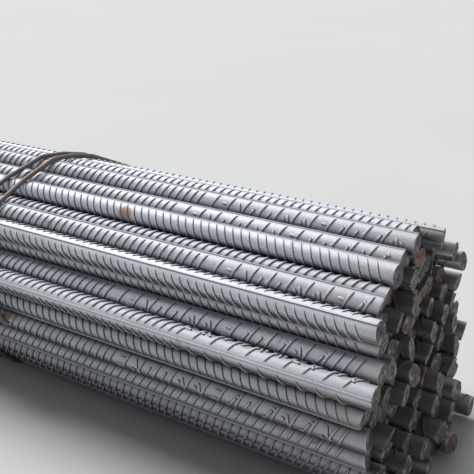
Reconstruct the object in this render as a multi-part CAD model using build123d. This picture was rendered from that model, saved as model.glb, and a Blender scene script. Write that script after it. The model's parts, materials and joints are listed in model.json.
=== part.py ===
from build123d import *
import os
from math import cos, hypot, pi, radians, sin, sqrt, tan

# A bundle of reinforcing bars tied with wire rod, lying on a level floor.
# The bars lie along X, +Y is the rear of the bundle and +Z is up. All sizes are in millimetres.

# Bars: nominal diameter, stock length, and the room that the ribs keep between two bars
BAR_DIAMETER = 25.0
BAR_LENGTH = 6000.0
BAR_GAP = 0.8
# A bar's round section is drawn with flat sides, and has the same area
BAR_SIDES = 18

# The section of the bundle is laid out in bar spacings, from one bar's axis to the next.
# Outer bars, from the rear of the top over the front and down to the floor:
# each heading is the way from one bar to the next, where 0 is level to the front and 90 straight down
FRONT_HEADINGS = (-12, -3, 26, 11, 48, -4, 31, 118, 42, 28, 97, 91, 105, 112, 128, 136)
# Steps from bar to bar of the lowest course, from the front to the rear
FLOOR_STEPS = (1.04, 1.015, 1.175, 1.01, 1.08, 1.23, 1.02)
# Greatest width of the bundle
BARS_ACROSS = 12.6

# How far each outer bar stands out at the photographed end, in the order of the headings
FRONT_LEADS = (17, -6, 5, 0, 5, 1, 6, 16, 14, 23, 27, 17, 22, 19, 30, 38, 44)
# The bars behind them stand out more the lower they lie, and each is off by up to the scatter
LOW_LEAD = 52.0
LEAD_CURVE = 1.5
LEAD_SCATTER = 14.0
# Bars are sheared to length: each cut leans by up to this angle, in degrees
SHEAR_LEAN = 16.0

# Ties: one wire rod wound twice round the bundle, with its two ends twisted together.
# The wire is drawn with flat sides too
WIRE_DIAMETER = 6.5
WIRE_SIDES = 12
WIRE_CLEARANCE = 0.15
TIE_COUNT = 4
TIE_FROM_END = 510.0
# Room between the centre lines of the two turns, at the front and just before they cross
TURN_SPACING = 42.0
CLOSE_SPACING = 16.0
# How far the rear of each tie stands towards +X, from -X to +X. Most of it comes near the rear
TIE_SWEEPS = (-35.0, 50.0, -20.0, 105.0)
SWEEP_CURVE = 3
# The turns change places at the rear, one over the other
CROSSING_LIFT = 2 * WIRE_DIAMETER
# Twisted ends: their height above the floor, length of a full twist and number of quarter twists
KNOT_HEIGHT = 128.0
TWIST_LAY = 34.0
QUARTER_TWISTS = 6
# How far they sink from the first twist to their tips
TWIST_DROOP = 12.0
# From the turns to the first twist, and from the twist up or down to the bend that leads into it
TWIST_OFFSET = 14.0
ELBOW_RISE = 5.0
# Corners sharper than this many degrees are eased as an arc of the bend radius,
# which takes up to the given share of the runs beside it
SHARP_TURN = 40.0
BEND_RADIUS = 12.0
RUN_SHARE = 0.45

# Bars lie in each other's pockets: the height of a course, and how nearly they have to clear each other
COURSE_STEP = sqrt(3) / 2
PACKING_TOLERANCE = 1e-4

# Uneven values for each bar come from multiples of the golden ratio, a stream for each use
GOLDEN = (sqrt(5) - 1) / 2
LEAD_STREAM = 1
NEAR_CUT_STREAM = 3
FAR_CUT_STREAM = 5

spacing = BAR_DIAMETER + BAR_GAP
bar_corner_radius = BAR_DIAMETER / 2 * sqrt(2 * pi / (BAR_SIDES * sin(2 * pi / BAR_SIDES)))
wire_radius = WIRE_DIAMETER / 2
# Centre line of a wire that lies on a bar, measured from the bar's axis
wrap_radius = bar_corner_radius + WIRE_CLEARANCE + wire_radius
# The lowest course rests on the wires that pass under it
floor_bar_height = wrap_radius + wire_radius


def front_bars():
    """Places (y, z) of the outer bars, each touching the next."""
    y, z = 0.0, 0.0
    places = [(y, z)]
    for heading in FRONT_HEADINGS:
        y -= cos(radians(heading))
        z -= sin(radians(heading))
        places.append((y, z))
    return places


def floor_bars(first):
    """Places of the lowest course, on from the last outer bar towards the rear."""
    y, z = first
    places = []
    for step in FLOOR_STEPS:
        y += step
        places.append((y, z))
    return places


def pockets(a, b):
    """The two places where a bar touches both bar a and bar b, or none."""
    dy, dz = b[0] - a[0], b[1] - a[1]
    apart = hypot(dy, dz)
    if apart >= 2:
        return []
    rise = sqrt(1 - apart**2 / 4) / apart
    middle_y, middle_z = (a[0] + b[0]) / 2, (a[1] + b[1]) / 2
    return [(middle_y - dz * rise, middle_z + dy * rise), (middle_y + dz * rise, middle_z - dy * rise)]


def packed_bars():
    """Axes (y, z) of all bars: behind the outer ones, each lies in the pocket nearest to the front."""
    bars = front_bars()
    bars += floor_bars(bars[-1])
    front = min(y for y, z in bars)
    low = min(z for y, z in bars)
    high = max(z for y, z in bars)
    half_width = (BARS_ACROSS - 1) / 2
    middle_y, middle_z = front + half_width, (low + high) / 2

    def fits(p):
        across = (p[0] - middle_y) / half_width
        up = (p[1] - middle_z) / ((high - low) / 2)
        if p[1] < low or across**2 + up**2 > 1:
            return False
        return all(hypot(p[0] - q[0], p[1] - q[1]) > 1 - PACKING_TOLERANCE for q in bars)

    open_pockets = []
    for i, a in enumerate(bars):
        for b in bars[:i]:
            open_pockets += pockets(a, b)
    while True:
        open_pockets = [p for p in open_pockets if fits(p)]
        if not open_pockets:
            break
        bar = min(open_pockets)
        for other in bars:
            open_pockets += pockets(bar, other)
        bars.append(bar)
    return [((y - middle_y) * spacing, (z - low) * spacing + floor_bar_height) for y, z in bars]


def scatter(index, stream):
    """A spread-out value from -1 to 1 for each bar."""
    return 2 * (((index + 1) * GOLDEN * stream) % 1) - 1


def bar_lead(index, height, top):
    """How far a bar stands out at the photographed end."""
    if index < len(FRONT_LEADS):
        return FRONT_LEADS[index]
    return LOW_LEAD * (1 - height / top) ** LEAD_CURVE + LEAD_SCATTER * scatter(index, LEAD_STREAM)


def sheared_bar(index, y, z, lead):
    """One bar, cut at both ends by leaning planes."""
    section = Plane(origin=(lead - BAR_LENGTH / 2 - BAR_DIAMETER, y, z), x_dir=(0, 1, 0), z_dir=(1, 0, 0))
    bar = extrude(section * RegularPolygon(bar_corner_radius, BAR_SIDES), BAR_LENGTH + 2 * BAR_DIAMETER)
    for side, stream in ((1, NEAR_CUT_STREAM), (-1, FAR_CUT_STREAM)):
        lean = radians(SHEAR_LEAN * scatter(index, stream))
        roll = pi * scatter(index, stream + 1)
        normal = Vector(side * cos(lean), sin(lean) * cos(roll), sin(lean) * sin(roll))
        cut = Plane(origin=(lead + side * BAR_LENGTH / 2, y, z), z_dir=normal)
        bar = split(bar, bisect_by=cut, keep=Keep.BOTTOM)
    return bar


def hull(points):
    """The outermost of the bars' axes in order, counterclockwise seen from +X."""
    points = sorted(points)
    lines = []
    for run in (points, points[::-1]):
        line = []
        for p in run:
            while len(line) > 1:
                a, b = line[-2], line[-1]
                if (b[0] - a[0]) * (p[1] - a[1]) - (b[1] - a[1]) * (p[0] - a[0]) > 0:
                    break
                line.pop()
            line.append(p)
        lines += line[:-1]
    return lines


def wrap_corners(axes):
    """Corners (y, z) of a wire's path round the bundle, where its tangent runs meet."""
    ring = hull(axes)
    runs = []
    for a, b in zip(ring, ring[1:] + ring[:1]):
        length = hypot(b[0] - a[0], b[1] - a[1])
        along = ((b[0] - a[0]) / length, (b[1] - a[1]) / length)
        out = (along[1], -along[0])
        runs.append(((a[0] + out[0] * wrap_radius, a[1] + out[1] * wrap_radius), along))
    corners = []
    for (p, u), (q, v) in zip(runs[-1:] + runs[:-1], runs):
        reach = ((q[0] - p[0]) * v[1] - (q[1] - p[1]) * v[0]) / (u[0] * v[1] - u[1] * v[0])
        corners.append((p[0] + u[0] * reach, p[1] + u[1] * reach))
    return corners


def knot_first(corners):
    """The same corners, from the one below the twisted ends, under and over to the one above them."""
    front = [i for i, (y, z) in enumerate(corners) if y < 0]
    below = [i for i in front if corners[i][1] < KNOT_HEIGHT]
    first = max(below, key=lambda i: corners[i][1])
    return corners[first:] + corners[:first]


def tie_path(corners, place, sweep):
    """Corners (x, y, z) of the wire of one tie: an end, two turns round the bundle, the other end."""
    ring = knot_first(corners)
    front_y = min(y for y, z in ring)
    rear_y = max(y for y, z in ring)
    rear = [y for y, z in ring].index(rear_y)

    # Where the turns cross, the second one is lifted outwards
    inward = ((ring[rear - 1][0] + ring[rear + 1][0]) / 2 - ring[rear][0],
              (ring[rear - 1][1] + ring[rear + 1][1]) / 2 - ring[rear][1])
    lift = CROSSING_LIFT / hypot(*inward)
    lifted = (ring[rear][0] - inward[0] * lift, ring[rear][1] - inward[1] * lift)

    def turn(side_before, side_after, crossing):
        points = []
        for i, (y, z) in enumerate(ring):
            to_rear = (y - front_y) / (rear_y - front_y)
            room = max(CLOSE_SPACING, TURN_SPACING * (1 - to_rear))
            side = side_before if i < rear else side_after
            if i == rear:
                side = 0
                y, z = crossing
            x = place + (side * room - TURN_SPACING) / 2 + sweep * to_rear**SWEEP_CURVE
            points.append((x, y, z))
        return points

    turns = turn(1, -1, ring[rear]) + turn(-1, 1, lifted)

    # The two ends turn to +X and lie twisted along the front of the bundle
    below, above = ring[0], ring[-1]
    share = (KNOT_HEIGHT - below[1]) / (above[1] - below[1])
    face_y = below[0] + share * (above[0] - below[0])
    quarter_turn = radians(90)
    twist_radius = (wire_radius + WIRE_CLEARANCE) / cos(quarter_turn / 2)
    axis_y = face_y - twist_radius

    def twisted(first_quarter):
        points = []
        for k in range(QUARTER_TWISTS + 1):
            angle = quarter_turn * (first_quarter + k)
            points.append((place + TWIST_OFFSET + k * TWIST_LAY / 4,
                           axis_y + twist_radius * cos(angle),
                           KNOT_HEIGHT - TWIST_DROOP * k / QUARTER_TWISTS + twist_radius * sin(angle)))
        return points

    elbow = twist_radius + ELBOW_RISE
    upper_end = [(place, face_y, KNOT_HEIGHT + elbow)] + twisted(1)
    lower_end = [(place, face_y, KNOT_HEIGHT - elbow)] + twisted(-1)
    return lower_end[::-1] + turns + upper_end


def eased(path):
    """The same path with two gentler corners in place of each sharp one, as along an arc."""
    points = [Vector(*p) for p in path]
    smooth = points[:1]
    for before, corner, after in zip(points, points[1:], points[2:]):
        into, out_of = corner - before, after - corner
        turn = radians(into.get_angle(out_of))
        if turn < radians(SHARP_TURN):
            smooth.append(corner)
            continue
        radius = min(BEND_RADIUS, RUN_SHARE * min(into.length, out_of.length) / tan(turn / 2))
        cut = radius * (tan(turn / 2) - tan(turn / 4))
        smooth += [corner - into.normalized() * cut, corner + out_of.normalized() * cut]
    return smooth + points[-1:]


def bar_courses(axes):
    """The bars of each course, from the floor up."""
    top = max(z for y, z in axes)
    courses = {}
    for index, (y, z) in enumerate(axes):
        course = 1 + round((z - floor_bar_height) / (spacing * COURSE_STEP))
        lead = bar_lead(index, z, top)
        courses.setdefault(course, []).append(sheared_bar(index, y, z, lead))
    return courses


def wire(path):
    """Wire rod along its path, with mitred corners."""
    route = Polyline(*eased(path))
    section = Plane(origin=route @ 0, z_dir=route % 0) * RegularPolygon(wire_radius, WIRE_SIDES)
    return sweep(section, path=route, transition=Transition.RIGHT)


axes = packed_bars()
parts = {}
for course, bars in sorted(bar_courses(axes).items()):
    parts[f"bars_course_{course:02d}"] = bars

corners = wrap_corners(axes)
tie_pitch = (BAR_LENGTH - 2 * TIE_FROM_END) / (TIE_COUNT - 1)
for number in range(TIE_COUNT):
    place = -BAR_LENGTH / 2 + TIE_FROM_END + number * tie_pitch
    path = tie_path(corners, place, TIE_SWEEPS[number % len(TIE_SWEEPS)])
    parts[f"tie_{number + 1}"] = [wire(path)]

# The origin is the middle of the bundle's underside, which is the underside of the wires
boxes = [solid.bounding_box() for solids in parts.values() for solid in solids]
centre_x = (min(box.min.X for box in boxes) + max(box.max.X for box in boxes)) / 2
centre_y = (min(box.min.Y for box in boxes) + max(box.max.Y for box in boxes)) / 2
floor_z = min(box.min.Z for box in boxes)
to_origin = (-centre_x, -centre_y, -floor_z)

os.makedirs("parts", exist_ok=True)
for name, solids in parts.items():
    placed = [solid.translate(to_origin, transform=True) for solid in solids]
    export_step(Compound(children=placed), f"parts/{name}.step")
print(len(axes), "bars in", len(parts) - TIE_COUNT, "courses, moved by", to_origin)
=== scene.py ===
import json
import math

import bpy
import numpy as np
from mathutils import Euler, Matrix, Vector

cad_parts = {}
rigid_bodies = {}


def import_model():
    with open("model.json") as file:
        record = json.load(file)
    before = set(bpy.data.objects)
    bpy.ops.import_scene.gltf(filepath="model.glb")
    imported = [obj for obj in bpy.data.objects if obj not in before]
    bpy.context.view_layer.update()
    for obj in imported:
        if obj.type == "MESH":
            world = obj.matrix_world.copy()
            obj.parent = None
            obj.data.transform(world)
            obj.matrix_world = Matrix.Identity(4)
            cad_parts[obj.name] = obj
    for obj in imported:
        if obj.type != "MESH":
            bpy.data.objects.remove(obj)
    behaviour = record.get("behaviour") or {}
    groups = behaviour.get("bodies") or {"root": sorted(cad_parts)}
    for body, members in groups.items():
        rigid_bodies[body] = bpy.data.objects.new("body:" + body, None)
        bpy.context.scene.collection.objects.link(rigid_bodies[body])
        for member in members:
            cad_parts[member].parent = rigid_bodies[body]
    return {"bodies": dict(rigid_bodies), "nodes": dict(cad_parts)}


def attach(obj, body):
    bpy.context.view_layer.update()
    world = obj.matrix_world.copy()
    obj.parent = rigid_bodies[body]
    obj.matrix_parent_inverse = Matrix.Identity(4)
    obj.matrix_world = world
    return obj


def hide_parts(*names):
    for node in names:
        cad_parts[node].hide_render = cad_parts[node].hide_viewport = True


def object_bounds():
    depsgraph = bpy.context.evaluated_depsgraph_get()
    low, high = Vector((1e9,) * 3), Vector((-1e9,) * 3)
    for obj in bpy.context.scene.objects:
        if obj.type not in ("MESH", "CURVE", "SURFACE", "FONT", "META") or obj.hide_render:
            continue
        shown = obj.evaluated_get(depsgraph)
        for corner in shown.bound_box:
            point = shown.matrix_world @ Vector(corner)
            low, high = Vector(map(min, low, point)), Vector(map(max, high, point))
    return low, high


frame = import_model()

bl_info = {
    "name": "Rebar bundle",
    "version": (1, 0, 0),
    "blender": (4, 5, 0),
    "location": "3D View > Sidebar > Rebar",
    "description": "Ribbed bars, tie wires and a plain stage round a packed bundle of reinforcing bars",
    "category": "Object",
}

CAD_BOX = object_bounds()
BODY = next(iter(frame["bodies"]))
COURSES = sorted(name for name in frame["nodes"] if name.startswith("bars_course"))
TIES = sorted(name for name in frame["nodes"] if name.startswith("tie"))

# Seeds of the random draws: how the bars lie, how their ends are torn, and the rolled marks
LAY_SEED, TEAR_SEED, MARK_SEED = 11, 5, 17

# How the bars of the front lie, from the rear of the top down to the floor, as the eye sees them:
# place of a longitudinal rib in degrees (0 faces the eye, 90 is the lower edge), lean of the ribs,
# and the stretch with rolled marks, in metres from the near end
FRONT_BARS = (
    (-40, -1, None),
    (85, 1, None),
    (-80, -1, (0.0, 0.257)),
    (-80, -1, (0.017, 0.283)),
    (-84, 1, None),
    (60, 1, None),
    (-70, -1, (0.0, 0.197)),
    (-30, 1, None),
    (-10, 1, None),
    (-78, -1, (0.057, 0.324)),
    (14, 1, (0.013, 0.229)),
    (-88, 1, None),
    (-60, -1, (0.022, 0.312)),
    (80, 1, None),
)

# Rust patches on the front bars: which bar, metres from its near end, and radius
RUST_PATCHES = ((4, 0.343, 0.011), (6, 0.429, 0.005))

# Strokes of the rolled marks, as (metres along the bar, radians round it) from the middle of each
STROKES = {
    "across": (0.0016, 0.55),
    "along": (0.0052, 0.04),
    "slant": (-0.0042, 0.45),
    "block": (0.0024, 0.12),
}

# Each mark is a few strokes that say nothing: (stroke, metres along from its middle, degrees round from it)
MARKS = (
    (("slant", -0.0045, 0), ("slant", 0.0035, 0)),
    (("block", -0.005, 26), ("slant", 0.0, 0), ("block", 0.005, -26)),
    (("across", 0.0, 0), ("block", 0.0055, 0), ("block", -0.0055, 0)),
    (("along", -0.002, 20), ("along", 0.002, -20)),
    (("block", -0.004, 22), ("block", 0.004, 22), ("across", 0.0, -12)),
)


class BarSizes(bpy.types.PropertyGroup):
    core_radius: bpy.props.FloatProperty(
        name="Core radius", description="Radius of the bar between its ribs", default=0.0121, unit="LENGTH")
    rib_pitch: bpy.props.FloatProperty(
        name="Rib pitch", description="From one rib to the next", default=0.0107, unit="LENGTH")
    rib_height: bpy.props.FloatProperty(
        name="Rib height", description="Height of a rib at its middle", default=0.0020, unit="LENGTH")
    rib_top: bpy.props.FloatProperty(
        name="Rib top", description="Width of a rib at its top", default=0.0020, unit="LENGTH")
    rib_base: bpy.props.FloatProperty(
        name="Rib base", description="Width of a rib at its foot", default=0.0044, unit="LENGTH")
    rib_span: bpy.props.FloatProperty(
        name="Rib span", description="How far a rib reaches round the bar", default=math.radians(160),
        subtype="ANGLE")
    rib_lean: bpy.props.FloatProperty(
        name="Rib lean", description="Lean of the ribs from square to the bar", default=math.radians(24),
        subtype="ANGLE")
    ridge_height: bpy.props.FloatProperty(
        name="Longitudinal rib height", description="Height of the two ribs along the bar", default=0.0014,
        unit="LENGTH")
    ridge_top: bpy.props.FloatProperty(
        name="Longitudinal rib top", description="Their width at the top", default=0.0014, unit="LENGTH")
    ridge_base: bpy.props.FloatProperty(
        name="Longitudinal rib base", description="Their width at the foot", default=0.0026, unit="LENGTH")
    fine_length: bpy.props.FloatProperty(
        name="Fine length", description="Stretch of the near end that gets the finest ribs", default=0.80,
        unit="LENGTH")
    end_length: bpy.props.FloatProperty(
        name="End length", description="Ribbed stretch at the ends of the bars inside the bundle",
        default=0.10,
        unit="LENGTH")
    cut_roughness: bpy.props.FloatProperty(
        name="Cut roughness", description="How uneven the sheared end faces are", default=0.0007,
        unit="LENGTH")
    end_inset: bpy.props.FloatProperty(
        name="End inset", description="How far the end faces lie inside the frame's plain cuts",
        default=0.0008,
        unit="LENGTH")
    lip: bpy.props.FloatProperty(
        name="Lip", description="How far the shear has rounded the edge of an end face", default=0.0012,
        unit="LENGTH")
    # Gap depth: how far from the next bar the painted shade between the bars reaches
    gap_depth: bpy.props.FloatProperty(
        name="Gap depth", description="Distance from the next bar within which grime has gathered",
        default=0.0065,
        unit="LENGTH")


class BarFinish(bpy.types.PropertyGroup):
    light: bpy.props.FloatVectorProperty(
        name="Light scale", description="Colour of the worn mill scale", default=(0.90, 0.92, 0.96),
        subtype="COLOR")
    dark: bpy.props.FloatVectorProperty(
        name="Dark scale", description="Colour of the thicker mill scale", default=(0.50, 0.53, 0.58),
        subtype="COLOR")
    # Rib root is the colour of the painted shade: at the foot of the ribs, under the bars and between them
    root: bpy.props.FloatVectorProperty(
        name="Rib root", description="Colour at the foot of the ribs", default=(0.03, 0.032, 0.038),
        subtype="COLOR")
    tinge: bpy.props.FloatVectorProperty(
        name="Tinge", description="Pinkish brown of the bars near their ends", default=(0.46, 0.37, 0.34),
        subtype="COLOR")
    patch: bpy.props.FloatVectorProperty(
        name="Rust patch", description="Light brown of the rust patches", default=(0.42, 0.25, 0.17),
        subtype="COLOR")
    rust: bpy.props.FloatVectorProperty(
        name="Rust", description="Colour of the rust", default=(0.24, 0.10, 0.05), subtype="COLOR")
    # The cut-end colour also darkens the bars inside and near the floor: partly dirt, partly painted shade
    cut: bpy.props.FloatVectorProperty(
        name="Cut end", description="Colour of the sheared end faces", default=(0.075, 0.066, 0.062),
        subtype="COLOR")
    cut_bright: bpy.props.FloatVectorProperty(
        name="Bright cut", description="Colour of the torn bright steel on them",
        default=(0.30, 0.30, 0.32),
        subtype="COLOR")


class TieSizes(bpy.types.PropertyGroup):
    wire_radius: bpy.props.FloatProperty(
        name="Wire radius", description="Radius of the wire rod", default=0.0032, unit="LENGTH")
    bend_radius: bpy.props.FloatProperty(
        name="Bend radius", description="Radius of the wire's bends round a bar", default=0.016,
        unit="LENGTH")
    wire_color: bpy.props.FloatVectorProperty(
        name="Wire", description="Colour of the wire rod", default=(0.13, 0.115, 0.105), subtype="COLOR")


class StageSizes(bpy.types.PropertyGroup):
    eye: bpy.props.FloatVectorProperty(
        name="Eye", description="Place of the camera", default=(3.2201, -0.7385, 0.5611), subtype="XYZ",
        unit="LENGTH")
    azimuth: bpy.props.FloatProperty(
        name="Azimuth", description="Turn of the view about the vertical", default=math.radians(32.3),
        subtype="ANGLE")
    elevation: bpy.props.FloatProperty(
        name="Elevation", description="How far the camera looks down", default=math.radians(21.5),
        subtype="ANGLE")
    lens: bpy.props.FloatProperty(
        name="Lens", description="Focal length on a 36 mm sensor, in millimetres", default=59.24)
    floor_color: bpy.props.FloatVectorProperty(
        name="Floor", description="Colour of the floor", default=(0.72, 0.72, 0.71), subtype="COLOR")
    world_strength: bpy.props.FloatProperty(
        name="World", description="Strength of the even light from all round", default=0.20)
    backdrop: bpy.props.FloatProperty(
        name="Backdrop", default=0.75,
        description="How pale the background is, also where the steel reflects it; 1 is white")
    light_from: bpy.props.FloatVectorProperty(
        name="Light from", description="Direction that the soft light comes from",
        default=(-0.62, 0.30, 0.95),
        subtype="XYZ")
    light_strength: bpy.props.FloatProperty(
        name="Light strength", description="Strength of the soft light", default=3.1)
    light_softness: bpy.props.FloatProperty(
        name="Light softness", description="How wide the soft light is in the sky",
        default=math.radians(42),
        subtype="ANGLE")
    floor_reach: bpy.props.FloatProperty(
        name="Floor reach", description="Distance from the bundle to the floor's edge", default=40.0,
        unit="LENGTH")


# Nodes

def fill(tree, sockets, values):
    """Sets sockets, given by name or number, or links them."""
    for key, value in values.items():
        if isinstance(value, bpy.types.NodeSocket):
            tree.links.new(value, sockets[key])
        else:
            sockets[key].default_value = value


def new_node(tree, kind, inputs=None, family="ShaderNode", **settings):
    """A shader or math node placed in a tree, with its settings and inputs. Returns its outputs."""
    node = tree.nodes.new(family + kind)
    for key, value in settings.items():
        setattr(node, key, value)
    fill(tree, node.inputs, inputs or {})
    return node.outputs


def new_geo(tree, kind, inputs=None, **settings):
    """The same for a geometry node."""
    return new_node(tree, kind, inputs, "GeometryNode", **settings)


def calc(tree, operation, *values, clamp=False):
    """The result of a Math node."""
    settings = {"operation": operation, "use_clamp": clamp}
    return new_node(tree, "Math", dict(enumerate(values)), **settings)[0]


def times(tree, *values):
    """The product of two or more values."""
    product = values[0]
    for value in values[1:]:
        product = calc(tree, "MULTIPLY", product, value)
    return product


def plus(tree, a, b):
    return calc(tree, "ADD", a, b)


def minus(tree, a, b):
    return calc(tree, "SUBTRACT", a, b)


def vector(tree, x, y=0.0, z=0.0):
    return new_node(tree, "CombineXYZ", {0: x, 1: y, 2: z})[0]


def axis_of(tree, place, axis):
    """One of the three numbers of a vector."""
    return new_node(tree, "SeparateXYZ", {0: place})[axis]


def new_tree(name, kind, inputs, outputs):
    """A node group. Each input and output is given as its name and its default number or kind of socket."""
    tree = bpy.data.node_groups.new(name, kind)
    for in_out, sockets in (("INPUT", inputs), ("OUTPUT", outputs)):
        for label, given in sockets.items():
            socket_type = given if isinstance(given, str) else type(given).__name__.title()
            socket = tree.interface.new_socket(
                name=label, in_out=in_out, socket_type="NodeSocket" + socket_type)
            if given is not socket_type:
                socket.default_value = given
    return tree, tree.nodes.new("NodeGroupInput").outputs, tree.nodes.new("NodeGroupOutput").inputs


def place_group(tree, group, inputs):
    """A group placed in a tree, with its inputs. Returns its outputs."""
    node = tree.nodes.new("ShaderNodeGroup" if tree.type == "SHADER" else "GeometryNodeGroup")
    node.node_tree = group
    fill(tree, node.inputs, inputs)
    return node.outputs


def ridge_tree():
    """A raised line on a round bar, from one place to another, each given along the bar and round it."""
    tree, given, result = new_tree("ridge", "GeometryNodeTree", {
        "From Along": 0.0, "From Round": -1.0,
        "To Along": 0.0, "To Round": 1.0,
        "Core Radius": 0.0121, "Height": 0.0017, "Top": 0.0016,
        "Base": 0.0034, "Sink": 0.0004, "Fullness": 2.0,
        "Segments": 8,
    }, {"Mesh": "Geometry"})
    rows = plus(tree, given["Segments"], 1)
    columns = 5
    grid = new_geo(tree, "MeshGrid", {
        "Size X": 1.0, "Size Y": 1.0, "Vertices X": columns, "Vertices Y": rows})
    position = new_geo(tree, "InputPosition")[0]
    place = {axis: axis_of(tree, position, axis) for axis in "XY"}

    # The grid's columns go round the section: foot, top, top, foot, and the first foot again
    middle, reach = 0.125, 0.2
    right = calc(tree, "COMPARE", place["X"], middle, reach)
    high = calc(tree, "COMPARE", place["X"], -middle, reach)
    side = minus(tree, right, 0.5)
    narrower = minus(tree, given["Top"], given["Base"])
    width = plus(tree, given["Base"], times(tree, high, narrower))

    # It rises from nothing at its two ends
    share = plus(tree, place["Y"], 0.5)
    from_middle = calc(tree, "ABSOLUTE", times(tree, place["Y"], 2.0))
    fall = calc(tree, "POWER", from_middle, given["Fullness"])
    rise = calc(tree, "SUBTRACT", 1.0, fall, clamp=True)
    across = times(tree, side, width, rise)
    lift = times(tree, high, rise, plus(tree, given["Height"], given["Sink"]))
    radius = plus(tree, minus(tree, given["Core Radius"], given["Sink"]), lift)

    # Its line on the unrolled bar, and the way square to it
    d_along = minus(tree, given["To Along"], given["From Along"])
    sweep = minus(tree, given["To Round"], given["From Round"])
    d_round = times(tree, sweep, given["Core Radius"])
    squares = plus(tree, times(tree, d_along, d_along), times(tree, d_round, d_round))
    step = calc(tree, "DIVIDE", across, calc(tree, "SQRT", squares))
    on_line = calc(tree, "MULTIPLY_ADD", share, d_along, given["From Along"])
    along = plus(tree, on_line, times(tree, step, d_round))
    sideways = calc(tree, "DIVIDE", times(tree, step, d_along), given["Core Radius"])
    angle = minus(tree, calc(tree, "MULTIPLY_ADD", share, sweep, given["From Round"]), sideways)
    y = times(tree, radius, calc(tree, "COSINE", angle))
    z = times(tree, radius, calc(tree, "SINE", angle))
    spot = vector(tree, along, y, z)

    # The rise goes from 0 at the foot of a rib to 1 on its top; the steel paints shade at the foot by it
    marked = new_geo(tree, "StoreNamedAttribute", {
        "Geometry": grid["Mesh"], "Name": "rise", "Value": times(tree, high, rise)},
        data_type="FLOAT", domain="POINT")
    moved = new_geo(tree, "SetPosition", {"Geometry": marked[0], "Position": spot})
    merged = new_geo(tree, "MergeByDistance", {"Geometry": moved[0], "Distance": 0.00002})
    outward = new_geo(tree, "FlipFaces", {"Mesh": merged[0]})
    tree.links.new(outward[0], result["Mesh"])
    return tree


def real_and_painted(tree, geometry, material):
    """Real, smooth faces with their material, as every tree of a piece ends."""
    real = new_geo(tree, "RealizeInstances", {"Geometry": geometry})
    smooth = new_geo(tree, "SetShadeSmooth", {0: real[0], "Shade Smooth": True})
    painted = new_geo(tree, "SetMaterial", {0: smooth[0], "Material": material})
    return painted[0]


def repeat_tree():
    """Repeats an item: each point of Runs is a run of it, with its turn, count and step as attributes."""
    tree, given, result = new_tree("repeat", "GeometryNodeTree", {
        "Runs": "Geometry", "Item": "Geometry", "Material": "Material",
    }, {"Mesh": "Geometry"})
    count, step, turn = (
        new_geo(tree, "InputNamedAttribute", {"Name": name}, data_type=kind)[0]
        for name, kind in (("count", "INT"), ("step", "FLOAT"), ("turn", "FLOAT_VECTOR")))
    many, number = new_geo(tree, "DuplicateElements", {
        "Geometry": given["Runs"], "Amount": count}, domain="POINT")
    offset = vector(tree, times(tree, number, step))
    spread = new_geo(tree, "SetPosition", {"Geometry": many, "Offset": offset})
    placed = new_geo(tree, "InstanceOnPoints", {
        "Points": spread[0], "Instance": given["Item"], "Rotation": turn})
    tree.links.new(real_and_painted(tree, placed[0], given["Material"]), result["Mesh"])
    return tree


def rib_runs_tree(ridge, repeat):
    """Pairs of leaning ribs, one on each side of a bar, in runs along the bars."""
    tree, given, result = new_tree("rib_runs", "GeometryNodeTree", {
        "Runs": "Geometry", "Core Radius": 0.0121, "Height": 0.0020,
        "Top": 0.0022, "Base": 0.0048, "Span": 2.5, "Lean": 0.4,
        "Pitch": 0.0107, "Segments": 8, "Material": "Material",
    }, {"Ribs": "Geometry"})
    half = times(tree, given["Span"], 0.5)
    reach = times(tree, half, given["Core Radius"], calc(tree, "TANGENT", given["Lean"]))
    quarter = math.pi / 2
    section = {key: given[key] for key in ("Core Radius", "Height", "Top", "Base", "Segments")}
    row = place_group(tree, ridge, {
        "From Along": times(tree, reach, -1.0), "To Along": reach,
        "From Round": minus(tree, quarter, half), "To Round": plus(tree, quarter, half),
        "Fullness": 3.5, **section})["Mesh"]

    # The row on the other side is its mirror image, half a pitch further
    aside = vector(tree, times(tree, given["Pitch"], 0.5))
    mirrored = new_geo(tree, "Transform", {
        "Geometry": row, "Translation": aside, "Scale": (1, 1, -1)})
    turned = new_geo(tree, "FlipFaces", {"Mesh": mirrored[0]})
    pair = tree.nodes.new("GeometryNodeJoinGeometry")
    for ribs in (row, turned[0]):
        tree.links.new(ribs, pair.inputs[0])
    runs = place_group(tree, repeat, {
        "Runs": given["Runs"], "Item": pair.outputs[0], "Material": given["Material"]})
    tree.links.new(runs["Mesh"], result["Ribs"])
    return tree


def strokes_tree(ridge, repeat):
    """Plain raised strokes on the bars, each lying Along and Round from the point that places it."""
    tree, given, result = new_tree("strokes", "GeometryNodeTree", {
        "Runs": "Geometry", "Core Radius": 0.0121, "Height": 0.0019,
        "Top": 0.0018, "Base": 0.0040, "Along": 0.004,
        "Round": 0.2, "Material": "Material",
    }, {"Strokes": "Geometry"})
    section = {key: given[key] for key in ("Core Radius", "Height", "Top", "Base")}
    stroke = place_group(tree, ridge, {
        "From Along": times(tree, given["Along"], -1.0), "To Along": given["Along"],
        "From Round": times(tree, given["Round"], -1.0), "To Round": given["Round"],
        "Fullness": 8.0, "Segments": 6, **section})["Mesh"]
    runs = place_group(tree, repeat, {"Runs": given["Runs"], "Item": stroke, "Material": given["Material"]})
    tree.links.new(runs["Mesh"], result["Strokes"])
    return tree


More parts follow.
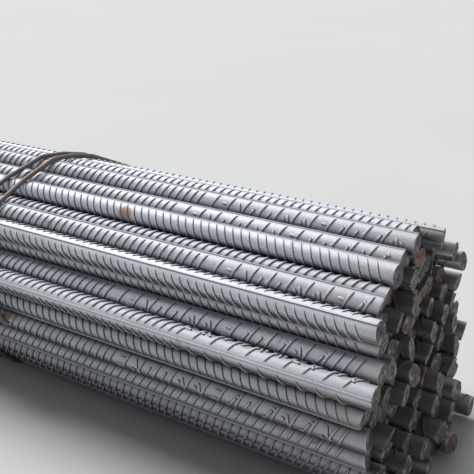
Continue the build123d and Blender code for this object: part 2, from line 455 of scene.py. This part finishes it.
def wire_tree():
    """Round wire along a line, with each corner bent as far as its two runs allow."""
    tree, given, result = new_tree("tie_wire", "GeometryNodeTree", {
        "Line": "Geometry", "Wire Radius": 0.00325, "Bend Radius": 0.016,
        "Bend Steps": 5, "Sides": 14, "Material": "Material",
    }, {"Wire": "Geometry"})
    line = new_geo(tree, "MeshToCurve", {"Mesh": given["Line"]})
    bent = new_geo(tree, "FilletCurve", {
        "Curve": line[0], "Count": given["Bend Steps"], "Radius": given["Bend Radius"],
        "Limit Radius": True}, mode="POLY")
    round_section = new_geo(tree, "CurvePrimitiveCircle", {
        "Resolution": given["Sides"], "Radius": given["Wire Radius"]})
    tube = new_geo(tree, "CurveToMesh", {
        "Curve": bent[0], "Profile Curve": round_section[0], "Fill Caps": True})
    tree.links.new(real_and_painted(tree, tube[0], given["Material"]), result["Wire"])
    return tree


def placed_object(name, data):
    """A new object in the scene."""
    item = bpy.data.objects.new(name, data)
    bpy.context.scene.collection.objects.link(item)
    return item


def made_by_nodes(name, mesh, tree, values):
    """The plain mesh that a tree makes of a mesh."""
    piece = placed_object(name + "_maker", mesh)
    modifier = piece.modifiers.new("make", "NODES")
    modifier.node_group = tree
    for item in tree.interface.items_tree:
        if item.in_out == "INPUT" and item.name in values:
            modifier[item.identifier] = values[item.name]
    evaluated = piece.evaluated_get(bpy.context.evaluated_depsgraph_get())
    made = bpy.data.meshes.new_from_object(evaluated)
    piece.modifiers.remove(modifier)
    bpy.data.objects.remove(piece)
    return made


# The bars as the frame has them

class Bar:
    """One bar of the frame: its axis, its two cut planes and how it is turned."""

    def __init__(self, corners):
        middle = (corners[:, 0].min() + corners[:, 0].max()) / 2
        near = corners[corners[:, 0] > middle]
        far = corners[corners[:, 0] <= middle]
        self.y, self.z = near[:, 1:].mean(axis=0)
        self.near = self.cut_plane(near)
        self.far = self.cut_plane(far)
        self.marks = self.rank = None
        self.outer = False

    def angle_to(self, eye):
        """The angle round the bar of the side that faces the eye."""
        return math.atan2(eye.z - self.z, eye.y - self.y)

    def cut_plane(self, corners):
        """(x on the axis, rise of x per y, rise of x per z) of an end."""
        rows = np.c_[np.ones(len(corners)), corners[:, 1] - self.y, corners[:, 2] - self.z]
        return np.linalg.lstsq(rows, corners[:, 0], rcond=None)[0]


def corners_of(mesh):
    """The places of a mesh's corners, one row each."""
    places = np.empty(len(mesh.vertices) * 3)
    mesh.vertices.foreach_get("co", places)
    return places.reshape(-1, 3)


def joined_corners(mesh):
    """The places of the corners of unjoined triangles, each once, and the place of every corner."""
    places, index = np.unique(corners_of(mesh).round(6), axis=0, return_inverse=True)
    return places, index.ravel()


def islands(mesh):
    """The corners of each loose part of a mesh of unjoined triangles."""
    places, index = joined_corners(mesh)
    groups = np.arange(len(places))

    def head(i):
        while groups[i] != i:
            i = groups[i]
        return i

    for face in mesh.polygons:
        first, *others = (head(index[v]) for v in face.vertices)
        for other in others:
            groups[head(other)] = head(first)
    heads = np.array([head(i) for i in range(len(places))])
    return [places[heads == h] for h in np.unique(heads)]


def read_bars():
    """The bars of each course."""
    return {name: [Bar(corners) for corners in islands(frame["nodes"][name].data)] for name in COURSES}


def hits(origin, way, bars, radius):
    """Where a line of sight in the plane square to the bars first meets each bar, or infinity."""
    to_y = np.array([bar.y for bar in bars]) - origin[0]
    to_z = np.array([bar.z for bar in bars]) - origin[1]
    along = to_y * way[0] + to_z * way[1]
    aside = np.abs(to_y * way[1] - to_z * way[0])
    depth = along - np.sqrt(np.maximum(radius**2 - aside**2, 0))
    return np.where((aside < radius) & (along > 0), depth, np.inf)


def rank_front(bars, eye, radius):
    """Gives the bars that the eye sees their rank, from the rear of the top down."""
    flattest, steepest, lines = math.radians(18), math.radians(46), 1400
    seen = []
    for angle in np.linspace(flattest, steepest, lines):
        depth = hits((eye.y, eye.z), (math.cos(angle), -math.sin(angle)), bars, radius)
        first = int(np.argmin(depth))
        if np.isfinite(depth[first]):
            seen.append(first)
    least = 10
    order = [i for i in dict.fromkeys(seen) if seen.count(i) > least]
    order.sort(key=lambda i: math.atan2(eye.z - bars[i].z, bars[i].y - eye.y))
    for rank, i in enumerate(order):
        bars[i].rank = rank


def mark_outer(bars, radius):
    """Marks the bars that show from somewhere outside."""
    ways = 90
    for i, bar in enumerate(bars):
        others = bars[:i] + bars[i + 1:]
        for k in range(ways):
            angle = 2 * math.pi * k / ways
            way = (math.cos(angle), math.sin(angle))
            if not np.isfinite(hits((bar.y, bar.z), way, others, radius)).any():
                bar.outer = True
                break


def lay_bars(courses, eye, radius):
    """Turns each bar about its axis: the front ones as the list says, the others unevenly."""
    bars = [bar for course in courses.values() for bar in course]
    rank_front(bars, eye, radius)
    mark_outer(bars, radius)
    shaded_below = 0.17
    chance = np.random.default_rng(LAY_SEED)
    for bar in bars:
        bar.turn = chance.uniform(0, 2 * math.pi)
        bar.lean = int(chance.choice((-1, 1)))
        bar.tone = chance.uniform(0, 1)
        bar.rust = chance.uniform(0, 1)

        # Painted shade darkens the bars towards the floor; the bars inside get much painted shade, with some
        # real dirt
        low = max(0.0, 1 - bar.z / shaded_below)
        bar.dirt = 0.5 * low if bar.outer else chance.uniform(0.75, 0.97)
        bar.tone -= 0.6 * low
        if bar.rank is not None and bar.rank < len(FRONT_BARS):
            bar.place, bar.lean, bar.marks = FRONT_BARS[bar.rank]
            bar.turn = bar.angle_to(eye) + math.radians(bar.place)
    return bars


# Ribs

def rib_margin(bar, plane, way, sizes):
    """How far from an end's plane, on the axis, the last pair of ribs has to stand to end inside it."""
    half = sizes.rib_span / 2
    reach = half * sizes.core_radius * math.tan(sizes.rib_lean)
    share = np.linspace(-1, 1, 25)  # places along a rib, from end to end
    needed = []
    for row, shift in ((1, 0.0), (-1, sizes.rib_pitch / 2)):
        angle = bar.turn + bar.lean * row * (math.pi / 2 + half * share)
        along = bar.lean * (reach * share + shift)
        slope = sizes.core_radius * (plane[1] * np.cos(angle) + plane[2] * np.sin(angle))
        needed.append((way * (along - slope)).max())
    return max(needed) + sizes.rib_base / 2 + sizes.end_inset


def rib_stretches(bar, sizes):
    """The runs of ribs on a bar, each as (start, end, step, fine)."""
    near = bar.near[0] - rib_margin(bar, bar.near, 1, sizes)
    far = bar.far[0] + rib_margin(bar, bar.far, -1, sizes)
    pitch = sizes.rib_pitch
    if not bar.outer:
        return [(near - sizes.end_length, near, pitch, True), (far, far + sizes.end_length, pitch, True)]
    fine_from = near - (sizes.end_length if bar.rank is None else sizes.fine_length)
    runs = [(far, fine_from, pitch, False)]
    if bar.marks is None:
        return [*runs, (fine_from, near, pitch, True)]
    first, last = bar.near[0] - bar.marks[1], min(bar.near[0] - bar.marks[0], near)
    return [*runs, (fine_from, first, pitch, True), (first, last, 2 * pitch, True), (last, near, pitch, True)]


def store(mesh, name, values, kind="FLOAT"):
    """Stores a value for each corner of a mesh."""
    field = "vector" if kind == "FLOAT_VECTOR" else "value"
    values = np.ravel(values).astype(np.int32 if kind == "INT" else np.float32)
    mesh.attributes.new(name, kind, "POINT").data.foreach_set(field, values)


def points_mesh(points):
    """Points for the repeat tree, each given as (place, count, step, turn, bar)."""
    places, counts, steps, turns, bars = zip(*points) if points else [()] * 5
    mesh = bpy.data.meshes.new("runs")
    mesh.from_pydata(places, [], [])
    store(mesh, "count", counts, "INT")
    store(mesh, "step", steps)
    store(mesh, "tone", [bar.tone for bar in bars])
    store(mesh, "dirt", [bar.dirt for bar in bars])
    store(mesh, "turn", turns, "FLOAT_VECTOR")
    return mesh


def run_points(bars, sizes, fine):
    """A point for the start of each run of ribs."""
    points = []
    for bar in bars:
        turn = (bar.turn, 0, 0) if bar.lean > 0 else (-bar.turn, math.pi, 0)
        start = bar.far[0]
        for low, high, step, is_fine in rib_stretches(bar, sizes):
            first = start + math.ceil((low - start) / step) * step
            count = math.floor((high - first) / step) + 1
            if is_fine == fine and count > 0:
                points.append(((first, bar.y, bar.z), count, step, turn, bar))
    return points_mesh(points)


def stroke_points(bars, sizes, kind):
    """A point for each stroke of one kind in the rolled marks, between ribs two pitches apart."""
    chance = np.random.default_rng(MARK_SEED)
    step = 2 * sizes.rib_pitch
    points = []
    for bar in bars:
        if bar.marks is None:
            continue
        side = bar.turn + math.copysign(math.pi / 2, -bar.place)
        low, high = bar.near[0] - bar.marks[1], bar.near[0] - max(bar.marks[0], sizes.rib_pitch)
        start = bar.far[0]
        slot = start + math.ceil((low - start) / step) * step + step / 2
        while slot < high:
            for stroke, along, degrees in MARKS[chance.integers(len(MARKS))]:
                if stroke == kind:
                    turn = (side + math.radians(degrees), 0, 0)
                    points.append(((slot + along, bar.y, bar.z), 1, 0.0, turn, bar))
            slot += step
    return points_mesh(points)


# Cores

def bar_profile(sizes):
    """(angle, radius, rise) of the points round a bar's section, with its two longitudinal ribs."""
    r = sizes.core_radius
    half_base = sizes.ridge_base / 2 / r
    half_top = sizes.ridge_top / 2 / r
    between = 12  # steps from one longitudinal rib to the other
    edge = 0.07  # width of the painted shade beside a longitudinal rib, in radians
    points = []
    for side in (0, math.pi):
        points += [(side + at, r + sizes.ridge_height, 1.0) for at in (-half_top, half_top)]
        points.append((side + half_base, r, 0.0))
        first = half_base + edge
        for k in range(between + 1):
            points.append((side + first + (math.pi - 2 * first) * k / between, r, 1.0))
        points.append((side + math.pi - half_base, r, 0.0))
    return points


def core_geometry(bar, profile, sizes, chance):
    """Corners, faces, rise and material numbers of one bar's core with its sheared ends."""
    angles = np.array([p[0] for p in profile]) + bar.turn
    radii = np.array([p[1] for p in profile])
    rises = np.array([p[2] for p in profile])
    count = len(profile)
    corners, rise, faces, slots = [], [], [], []

    def ring(plane, scale, inset, bumps, level):
        y = radii * scale * np.cos(angles)
        z = radii * scale * np.sin(angles)
        x = plane[0] + plane[1] * y + plane[2] * z - way * sizes.end_inset + inset + bumps
        corners.extend(np.c_[x, y + bar.y, z + bar.z])
        rise.extend(level)

    # Three rings round off the edge, most on one side, and the others are the torn face
    lip_rings, torn_rings = 3, (0.72, 0.45, 0.2)
    rings = lip_rings + len(torn_rings)
    rough = sizes.cut_roughness
    for plane, way in ((bar.near, 1), (bar.far, -1)):
        lip_at = chance.uniform(0, 2 * math.pi)
        lip = sizes.lip * (0.55 + 0.45 * np.cos(angles - lip_at))
        inward = lip / sizes.core_radius
        ring(plane, 1.0, -way * 2.5 * lip, 0.0, rises)
        ring(plane, 1.0 - inward * 0.45, -way * lip, 0.0, rises)
        ring(plane, 1.0 - inward, 0.0, -way * rough * chance.uniform(0, 0.6, count), rises)
        for scale in torn_rings:
            ring(plane, scale, 0.0, way * rough * chance.uniform(-1.0, 0.4, count), rises * 0)
        corners.append((plane[0] - way * (sizes.end_inset + rough / 2), bar.y, bar.z))
        rise.append(0.0)
    side = rings * count + 1

    def add(face, flip, slot):
        faces.append(face[::-1] if flip else face)
        slots.append(slot)

    def band(a, b, flip, slot):
        for k in range(count):
            n = (k + 1) % count
            add((a + k, a + n, b + n, b + k), flip, slot)

    band(side, 0, False, 0)
    for start, flip in ((0, False), (side, True)):
        for step in range(rings - 1):
            slot = 0 if step < lip_rings - 1 else 1
            band(start + step * count, start + (step + 1) * count, flip, slot)
        last = start + (rings - 1) * count
        centre = start + rings * count
        for k in range(count):
            add((last + k, last + (k + 1) % count, centre), flip, 1)
    return corners, faces, rise, slots


def core_mesh(name, bars, sizes, materials):
    """The cores of a course's bars as one mesh."""
    profile = bar_profile(sizes)
    chance = np.random.default_rng(TEAR_SEED)
    on_ends = 0.3  # how much of a bar's dirt and painted shade lies on its end faces
    corners, faces, slots = [], [], []
    stored = {"rise": [], "tone": [], "rust": [], "dirt": []}
    for bar in bars:
        new_corners, new_faces, new_rise, new_slots = core_geometry(bar, profile, sizes, chance)
        start, number = len(corners), len(new_corners)
        corners += [tuple(c) for c in new_corners]
        faces += [tuple(start + i for i in face) for face in new_faces]
        slots += new_slots
        end = [bar.dirt] * len(profile) + [on_ends * bar.dirt] * (number // 2 - len(profile))
        stored["rise"] += new_rise
        stored["tone"] += [bar.tone] * number
        stored["rust"] += [bar.rust] * number
        stored["dirt"] += end + end
    mesh = bpy.data.meshes.new(name)
    mesh.from_pydata(corners, [], faces)
    mesh.polygons.foreach_set("material_index", slots)
    for label, values in stored.items():
        store(mesh, label, values)
    for material in materials:
        mesh.materials.append(material)
    mesh.shade_smooth()
    sharp = math.radians(38)
    mesh.set_sharp_from_angle(angle=sharp)
    return mesh


def store_gaps(mesh, bars, radius, depth):
    """Stores how deep each corner lies in the gap between two bars, for the painted shade there: 1 where they
    touch, 0 from depth on.
    """
    _, y, z = corners_of(mesh).T
    nearest = np.full(len(y), np.inf)
    second = nearest
    for bar in bars:
        away = np.hypot(y - bar.y, z - bar.z)
        second = np.minimum(second, np.maximum(nearest, away))
        nearest = np.minimum(nearest, away)
    store(mesh, "gap", np.clip(1 - (second - radius) / depth, 0, 1))


def joined(name, meshes):
    """Several meshes with the same materials as one object."""
    parts = [placed_object(name, mesh) for mesh in meshes]
    piece = parts[0]
    with bpy.context.temp_override(active_object=piece, selected_editable_objects=parts, object=piece):
        bpy.ops.object.join()
    piece.name = name
    piece.data.name = name
    return piece


# Finishes

def new_material(name):
    """A material, its tree and the inputs of its Principled shader."""
    material = bpy.data.materials.new(name)
    material.use_nodes = True
    tree = material.node_tree
    tree.nodes.clear()
    shader = tree.nodes.new("ShaderNodeBsdfPrincipled")
    output = tree.nodes.new("ShaderNodeOutputMaterial")
    tree.links.new(shader.outputs[0], output.inputs["Surface"])
    return material, tree, shader.inputs


def object_place(tree):
    return tree.nodes.new("ShaderNodeTexCoord").outputs["Object"]


def attribute(tree, name):
    return new_node(tree, "Attribute", attribute_name=name)["Fac"]


def ramp(tree, value, low, high, at_low=0.0, at_high=1.0):
    """Goes from at_low to at_high while the value goes from low to high, and no further."""
    return new_node(tree, "MapRange", {
        "Value": value, "From Min": low, "From Max": high, "To Min": at_low, "To Max": at_high})[0]


def noise(tree, place, scale, detail, roughness=0.5):
    return new_node(tree, "TexNoise", {
        "Vector": place, "Scale": scale, "Detail": detail, "Roughness": roughness})[0]


def grey(tree, value):
    return new_node(tree, "CombineColor", {0: value, 1: value, 2: value})[0]


def relief(tree, strength, depth, height):
    return new_node(tree, "Bump", {
        "Strength": strength, "Distance": depth, "Height": height})[0]


def mottle_group():
    """Soft uneven patches in two sizes, stretched along the bars."""
    tree, given, result = new_tree("mottle", "ShaderNodeTree", {
        "Place": "Vector", "Patch": 60.0, "Grain": 900.0,
        "Stretch": 0.35,
    }, {"Patches": "Float", "Grain": "Float"})
    scale = vector(tree, given["Stretch"], 1.0, 1.0)
    stretched = new_node(tree, "VectorMath", {0: given["Place"], 1: scale}, operation="MULTIPLY")
    place = stretched[0]
    fill(tree, result, {
        "Patches": noise(tree, place, given["Patch"], 4.0), "Grain": noise(tree, place, given["Grain"], 3.0)})
    return tree


def specks_group():
    """Scattered rust spots, from 0 for clean to 1 for rust."""
    tree, given, result = new_tree("rust_specks", "ShaderNodeTree", {
        "Place": "Vector", "Size": 40.0, "Amount": 0.3,
    }, {"Mask": "Float"})
    broad = noise(tree, given["Place"], given["Size"], 5.0, 0.65)
    soft_edge = 0.08
    edge = minus(tree, 1.0, times(tree, given["Amount"], 0.5))
    fill(tree, result, {"Mask": ramp(tree, broad, edge, plus(tree, edge, soft_edge))})
    return tree


def weathered(tree, mottle, specks, sizes, spots):
    """The place on the object, and the patches, grain and rust spots there."""
    place = object_place(tree)
    patches, grain = place_group(tree, mottle, {"Place": place, **sizes})
    return place, patches, grain, place_group(tree, specks, {"Place": place, **spots})["Mask"]


def mix_colors(tree, share, a, b, blend="MIX"):
    """Two colours mixed by the share of the second."""
    a, b = (color if isinstance(color, bpy.types.NodeSocket) else (*color, 1.0) for color in (a, b))
    inputs = {"Factor": share, 6: a, 7: b}
    return new_node(tree, "Mix", inputs, data_type="RGBA", blend_type=blend)[2]


def patch_places(bars, eye, radius):
    """(place, radius) of the rust patches, on the side of their bar that faces the eye."""
    ranked = {bar.rank: bar for bar in bars}
    places = []
    for rank, from_end, size in RUST_PATCHES:
        bar = ranked[rank]
        angle = bar.angle_to(eye)
        y = bar.y + radius * math.cos(angle)
        z = bar.z + radius * math.sin(angle)
        places.append(((bar.near[0] - from_end, y, z), size))
    return places


def bar_steel(finish, mottle, specks, patches_at):
    """Rolled steel with thin blue-grey scale, with painted shade at the foot of the ribs, under the bars and
    between them, so that the rib tops stay light.
    """
    material, tree, surface = new_material("bar_steel")
    place, patches, grain, spots = weathered(
        tree, mottle, specks,
        {"Patch": 45.0, "Grain": 900.0, "Stretch": 0.4}, {"Size": 30.0, "Amount": 0.70})
    rise, tone, gap, dirt = (attribute(tree, name) for name in ("rise", "tone", "gap", "dirt"))
    most_tinge, most_rust, shine = 0.55, 0.6, 0.22

    # Scale: thinner and lighter in patches, and on some bars more than on others; painted shade lowers the
    # tone of the bars near the floor
    thin = calc(tree, "MULTIPLY_ADD", patches, 0.9, -0.12)
    shade = calc(tree, "MULTIPLY_ADD", tone, 0.35, thin, clamp=True)
    scale = mix_colors(tree, shade, finish.dark, finish.light)
    grit = calc(tree, "MULTIPLY_ADD", grain, 0.5, 0.75)
    speckled = mix_colors(tree, 1.0, scale, grey(tree, grit), "MULTIPLY")

    # Painted shade: at the foot of the ribs, most on their side towards the near end, under the bars and
    # between them
    normal = new_node(tree, "NewGeometry")["True Normal"]
    foot = ramp(tree, rise, 0.5, 0.95, 1.0, 0.0)
    near_side = ramp(tree, axis_of(tree, normal, "X"), 0.05, 0.35, 0.35, 0.96)
    rib_foot_shaded = mix_colors(tree, times(tree, foot, near_side), speckled, finish.root)
    under = ramp(tree, axis_of(tree, normal, "Z"), 0.08, -0.38, 0.0, 0.88)
    under_and_gap_shade = calc(tree, "MAXIMUM", under, calc(tree, "MULTIPLY", gap, 1.3, clamp=True))
    with_painted_shade = mix_colors(tree, under_and_gap_shade, rib_foot_shaded, finish.root)

    # Tinge: in blotches over the last stretch of each end
    end, tinged_from, tinged_to = CAD_BOX[1][0], 0.16, 0.03
    from_middle = calc(tree, "ABSOLUTE", axis_of(tree, place, "X"))
    near_end = ramp(tree, from_middle, end - tinged_from, end - tinged_to)
    tinge = times(tree, near_end, ramp(tree, patches, 0.42, 0.62), most_tinge)
    tinged = mix_colors(tree, tinge, with_painted_shade, finish.tinge)

    # Rust: in spots, and in the patches of the front bars with ragged edges
    rusty = mix_colors(tree, times(tree, spots, most_rust), tinged, finish.rust)
    for spot, size in patches_at:
        away = new_node(tree, "VectorMath", {0: place, 1: spot}, operation="DISTANCE")
        inward = minus(tree, away["Value"], size * 0.4)
        ragged = calc(tree, "MULTIPLY_ADD", grain, size * 0.8, inward)
        rusty = mix_colors(tree, ramp(tree, ragged, size * 0.7, size, 0.75, 0.0), rusty, finish.patch)

    # Rougher where rust spots, dirt and painted shade are; less metallic there and under and between the
    # bars, where shade is painted; the bars inside and near the floor take the dark cut-end colour, partly
    # dirt and partly painted shade
    rough = calc(tree, "MULTIPLY_ADD", patches, 0.25, 0.46)
    clean_and_unshaded = minus(tree, 1.0, calc(tree, "MAXIMUM", spots, calc(tree, "MAXIMUM", dirt, under_and_gap_shade)))
    fill(tree, surface, {
        "Base Color": mix_colors(tree, dirt, rusty, finish.cut),
        "Roughness": calc(tree, "MULTIPLY_ADD", calc(tree, "MAXIMUM", spots, dirt), 0.3, rough),
        "Metallic": times(tree, clean_and_unshaded, shine),
        "Normal": relief(tree, 0.25, 0.0004, grain)})
    return material


def cut_steel(finish, mottle, specks):
    """Sheared end faces: dull and brown, with torn bright stretches, and fresh rust on a few of them."""
    material, tree, surface = new_material("cut_steel")
    _, patches, grain, spots = weathered(
        tree, mottle, specks,
        {"Patch": 140.0, "Grain": 1200.0, "Stretch": 1.0}, {"Size": 90.0, "Amount": 0.75})
    base = mix_colors(tree, ramp(tree, patches, 0.5, 0.68), finish.cut, finish.cut_bright)
    most_rust, rusty_from = 0.3, 0.90
    few = calc(tree, "GREATER_THAN", attribute(tree, "rust"), rusty_from)
    fresh = times(tree, few, ramp(tree, patches, 0.44, 0.56, at_high=0.8))
    fill(tree, surface, {
        "Base Color": mix_colors(tree, plus(tree, times(tree, spots, most_rust), fresh), base, finish.rust),
        "Roughness": calc(tree, "MULTIPLY_ADD", patches, 0.3, 0.4),
        "Metallic": 0.4,
        "Normal": relief(tree, 0.6, 0.0006, plus(tree, patches, times(tree, grain, 0.5)))})
    return material


def wire_steel(ties, finish, mottle, specks):
    """Dull dark wire rod with a little rust."""
    material, tree, surface = new_material("tie_wire")
    _, patches, grain, spots = weathered(
        tree, mottle, specks,
        {"Patch": 90.0, "Grain": 1500.0, "Stretch": 1.0}, {"Size": 70.0, "Amount": 0.95})
    most_rust = 0.5
    darker, lighter = ([c * share for c in ties.wire_color] for share in (0.6, 1.7))
    base = mix_colors(tree, patches, darker, lighter)
    fill(tree, surface, {
        "Base Color": mix_colors(tree, times(tree, spots, most_rust), base, finish.rust),
        "Roughness": calc(tree, "MULTIPLY_ADD", patches, 0.3, 0.35),
        "Metallic": 0.6,
        "Normal": relief(tree, 0.3, 0.0003, grain)})
    return material


def floor_finish(stage):
    """Plain pale floor, a little uneven in its shade."""
    material, tree, surface = new_material("plain_floor")
    clouds = noise(tree, object_place(tree), 1.5, 3.0)
    tint = grey(tree, calc(tree, "MULTIPLY_ADD", clouds, 0.06, 0.97))
    fill(tree, surface, {
        "Base Color": mix_colors(tree, 1.0, stage.floor_color, tint, "MULTIPLY"), "Roughness": 0.9})
    return material


# Pieces

def wire_end(node, faces, normals):
    """The corners of one flat end of a wire: the smallest group of faces that only sharp edges bound."""
    sharp = math.cos(math.radians(60))
    beside = {}
    for number, face in enumerate(faces):
        for edge in zip(face, np.roll(face, 1)):
            beside.setdefault(frozenset(edge), []).append(number)
    flat = [[] for _ in faces]
    for one, other in beside.values():
        if normals[one] @ normals[other] > sharp:
            flat[one].append(other)
            flat[other].append(one)
    left, groups = set(range(len(faces))), []
    while left:
        group, edge = set(), {left.pop()}
        while edge:
            group |= edge
            edge = {other for one in edge for other in flat[one]} - group
        left -= group
        groups.append(group)
    if len(groups) != 3:
        raise RuntimeError(f"{node}: {len(groups)} groups of faces and not two ends and a side")
    return set(faces[sorted(min(groups, key=len))].ravel())


def wire_line(node):
    """The line of a tie's wire: the centres of the sections of its swept solid, from end to end."""
    mesh = frame["nodes"][node].data
    places, index = joined_corners(mesh)
    faces = index[np.array([face.vertices for face in mesh.polygons])]
    first, second, third = (places[faces[:, i]] for i in range(3))
    normals = np.cross(second - first, third - first)
    normals /= np.linalg.norm(normals, axis=1)[:, None]
    near = [set() for _ in places]
    for face in faces:
        for corner in face:
            near[corner].update(face)
    end = wire_end(node, faces, normals)
    layer, done, line = end, set(end), []
    while layer:
        if len(layer) != len(end):
            raise RuntimeError(f"{node}: a section of the wire has {len(layer)} corners and not {len(end)}")
        line.append(places[sorted(layer)].mean(axis=0))
        layer = set().union(*(near[i] for i in layer)) - done
        done |= layer
    if len(done) != len(places):
        raise RuntimeError(f"{node}: the sections hold {len(done)} of {len(places)} corners")
    return line


class RebarOperator:
    """What the operators share."""
    bl_options = {"REGISTER", "UNDO"}


class OBJECT_OT_rebar_bars(RebarOperator, bpy.types.Operator):
    """Make the ribbed bars of every course"""
    bl_idname = "object.rebar_bars"
    bl_label = "Ribbed bars"

    def execute(self, context):
        scene = context.scene
        sizes, finish = scene.rebar_sizes, scene.rebar_finish
        mottle, specks = mottle_group(), specks_group()
        courses = read_bars()
        radius = frame_radius(courses)
        eye = Vector(scene.rebar_stage.eye)
        every = lay_bars(courses, eye, radius)
        steel = bar_steel(finish, mottle, specks, patch_places(every, eye, radius))
        cut = cut_steel(finish, mottle, specks)
        ridge, repeat = ridge_tree(), repeat_tree()
        ribs, strokes = rib_runs_tree(ridge, repeat), strokes_tree(ridge, repeat)
        shared = {"Core Radius": sizes.core_radius, "Height": sizes.rib_height, "Base": sizes.rib_base,
                  "Span": sizes.rib_span, "Lean": sizes.rib_lean, "Pitch": sizes.rib_pitch, "Material": steel}
        for name, bars in courses.items():
            meshes = [core_mesh(name, bars, sizes, (steel, cut))]

            # Fine ribs have a flat top and eight segments, the others a sharp one and three
            for fine, segments, top in ((True, 8, sizes.rib_top), (False, 3, 0.0)):
                runs = run_points(bars, sizes, fine)
                if runs.vertices:
                    values = {**shared, "Segments": segments, "Top": top}
                    meshes.append(made_by_nodes(name, runs, ribs, values))
            for kind, (along, around) in STROKES.items():
                points = stroke_points(bars, sizes, kind)
                if points.vertices:
                    values = {"Core Radius": sizes.core_radius, "Along": along, "Round": around}
                    meshes.append(made_by_nodes(name, points, strokes, {**values, "Material": steel}))
            piece = joined(name.replace("bars_", "ribbed_"), meshes)
            store_gaps(piece.data, every, radius, sizes.gap_depth)
            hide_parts(name)
            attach(piece, BODY)
        return {"FINISHED"}


def frame_radius(courses):
    """The radius of the frame's plain bars."""
    name, bars = next(iter(courses.items()))
    corners = islands(frame["nodes"][name].data)[0]
    return float(np.hypot(corners[:, 1] - bars[0].y, corners[:, 2] - bars[0].z).max())


class OBJECT_OT_rebar_ties(RebarOperator, bpy.types.Operator):
    """Make the wire ties"""
    bl_idname = "object.rebar_ties"
    bl_label = "Wire ties"

    def execute(self, context):
        scene = context.scene
        ties, finish = scene.rebar_ties, scene.rebar_finish
        groups = bpy.data.node_groups
        material = wire_steel(ties, finish, groups["mottle"], groups["rust_specks"])
        tree = wire_tree()
        for name in TIES:
            line = wire_line(name)
            mesh = bpy.data.meshes.new(name)
            mesh.from_pydata(line, [(i, i + 1) for i in range(len(line) - 1)], [])
            made = made_by_nodes(name, mesh, tree, {
                "Wire Radius": ties.wire_radius, "Bend Radius": ties.bend_radius, "Material": material})
            piece = placed_object("wire_" + name, made)
            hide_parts(name)
            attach(piece, BODY)
        return {"FINISHED"}


class OBJECT_OT_rebar_stage(RebarOperator, bpy.types.Operator):
    """Make the floor, the light and the camera"""
    bl_idname = "object.rebar_stage"
    bl_label = "Stage"

    def execute(self, context):
        scene = context.scene
        stage = scene.rebar_stage
        reach = stage.floor_reach
        mesh = bpy.data.meshes.new("floor")
        corners = [(-reach, -reach, 0), (reach, -reach, 0), (reach, reach, 0), (-reach, reach, 0)]
        mesh.from_pydata(corners, [], [(0, 1, 2, 3)])
        mesh.materials.append(floor_finish(stage))
        floor = placed_object("floor", mesh)

        light = bpy.data.lights.new("soft_light", "SUN")
        light.energy = stage.light_strength
        light.angle = stage.light_softness
        soft_light = placed_object("soft_light", light)
        soft_light.rotation_euler = Vector(stage.light_from).to_track_quat("Z", "Y").to_euler()

        world = bpy.data.worlds.new("even_light")
        world.use_nodes = True
        tree = world.node_tree
        even = tree.nodes["Background"]
        sky = (0.9, 0.93, 1.0, 1.0)
        even.inputs["Color"].default_value = sky
        path = new_node(tree, "LightPath")
        seen = [path[f"Is {kind} Ray"] for kind in ("Camera", "Glossy", "Transmission")]
        shown = calc(tree, "MAXIMUM", calc(tree, "MAXIMUM", seen[0], seen[1]), seen[2])
        paler = stage.backdrop - stage.world_strength
        fill(tree, even.inputs, {"Strength": calc(tree, "MULTIPLY_ADD", shown, paler, stage.world_strength)})
        scene.world = world

        lens = bpy.data.cameras.new("eye")
        lens.lens = stage.lens
        lens.sensor_width = 36.0
        camera = placed_object("eye", lens)
        camera.location = stage.eye
        camera.rotation_euler = Euler((math.pi / 2 - stage.elevation, 0, stage.azimuth))
        scene.camera = camera
        scene.view_settings.view_transform = "Standard"
        return {"FINISHED"}


class VIEW3D_PT_rebar(bpy.types.Panel):
    bl_label = "Rebar bundle"
    bl_idname = "VIEW3D_PT_rebar"
    bl_space_type = "VIEW_3D"
    bl_region_type = "UI"
    bl_category = "Rebar"

    def draw(self, context):
        for operator in OPERATORS:
            self.layout.operator(operator.bl_idname)


OPERATORS = (OBJECT_OT_rebar_stage, OBJECT_OT_rebar_bars, OBJECT_OT_rebar_ties)
CLASSES = (BarSizes, BarFinish, TieSizes, StageSizes, *OPERATORS, VIEW3D_PT_rebar)
SETTINGS = {
    "rebar_sizes": BarSizes, "rebar_finish": BarFinish, "rebar_ties": TieSizes, "rebar_stage": StageSizes}


def register():
    for cls in CLASSES:
        bpy.utils.register_class(cls)
    for name, group in SETTINGS.items():
        setattr(bpy.types.Scene, name, bpy.props.PointerProperty(type=group))


def unregister():
    for name in SETTINGS:
        delattr(bpy.types.Scene, name)
    for cls in reversed(CLASSES):
        bpy.utils.unregister_class(cls)


def main():
    register()
    bpy.ops.object.rebar_stage()
    bpy.ops.object.rebar_bars()
    bpy.ops.object.rebar_ties()


if __name__ == "__main__":
    main()
